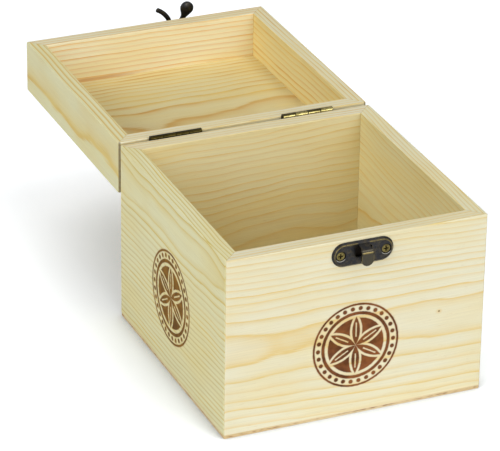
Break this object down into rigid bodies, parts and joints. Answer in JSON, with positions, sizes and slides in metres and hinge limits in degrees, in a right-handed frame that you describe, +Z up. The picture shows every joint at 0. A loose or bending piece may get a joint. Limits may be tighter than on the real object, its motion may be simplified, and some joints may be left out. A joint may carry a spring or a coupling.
{
  "type": "hinged wooden tea box",
  "caption": "Square pine box with mitred corners and a deep lid on butt hinges that opens right over to the back, held shut by a swinging horn latch on a hooked catch plate.",
  "frame": {"origin": "centre of the box's underside, on the table", "axes": "+X to the right seen from the front, +Y to the back, +Z up; the lid lies open behind the box"},
  "size_m": [0.13, 0.274, 0.0983],
  "materials": {
    "pine": "sanded, unvarnished",
    "plywood": "sanded sheet with a brown core at its edge",
    "hinge_brass": "bright brass plate",
    "screw_brass": "brass plate, dull in the recess",
    "bronze": "dark antique bronze plate, worn to brass at the edges"
  },
  "bodies": {
    "box": {"box_back": "pine", "box_bottom": "plywood", "box_front": "pine", "box_hinge_screws": "screw_brass", "box_left": "pine", "box_right": "pine", "catch_plate": "bronze", "catch_screws": "screw_brass", "left_hinge_box_leaf": "hinge_brass", "left_hinge_pin": "hinge_brass", "right_hinge_box_leaf": "hinge_brass", "right_hinge_pin": "hinge_brass"},
    "lid": {"left_hinge_lid_leaf": "hinge_brass", "lid_back": "pine", "lid_front": "pine", "lid_hinge_screws": "screw_brass", "lid_left": "pine", "lid_panel": "pine", "lid_right": "pine", "right_hinge_lid_leaf": "hinge_brass", "latch_plate": "bronze", "latch_rivet": "bronze", "latch_screws": "screw_brass"},
    "horn": {"latch_horn": "bronze"}
  },
  "joints": [
    {"name": "lid_hinge", "type": "hinge", "parent": "box", "child": "lid", "pos_m": [0, 0.0664, 0.0911], "axis": [1, 0, 0], "range_deg": [0, 180]},
    {"name": "horn_swing", "type": "hinge", "parent": "lid", "child": "horn", "pos_m": [0.0019, 0.1978, 0.0837], "axis": [0, 1, 0], "range_deg": [-38, 80]}
  ]
}
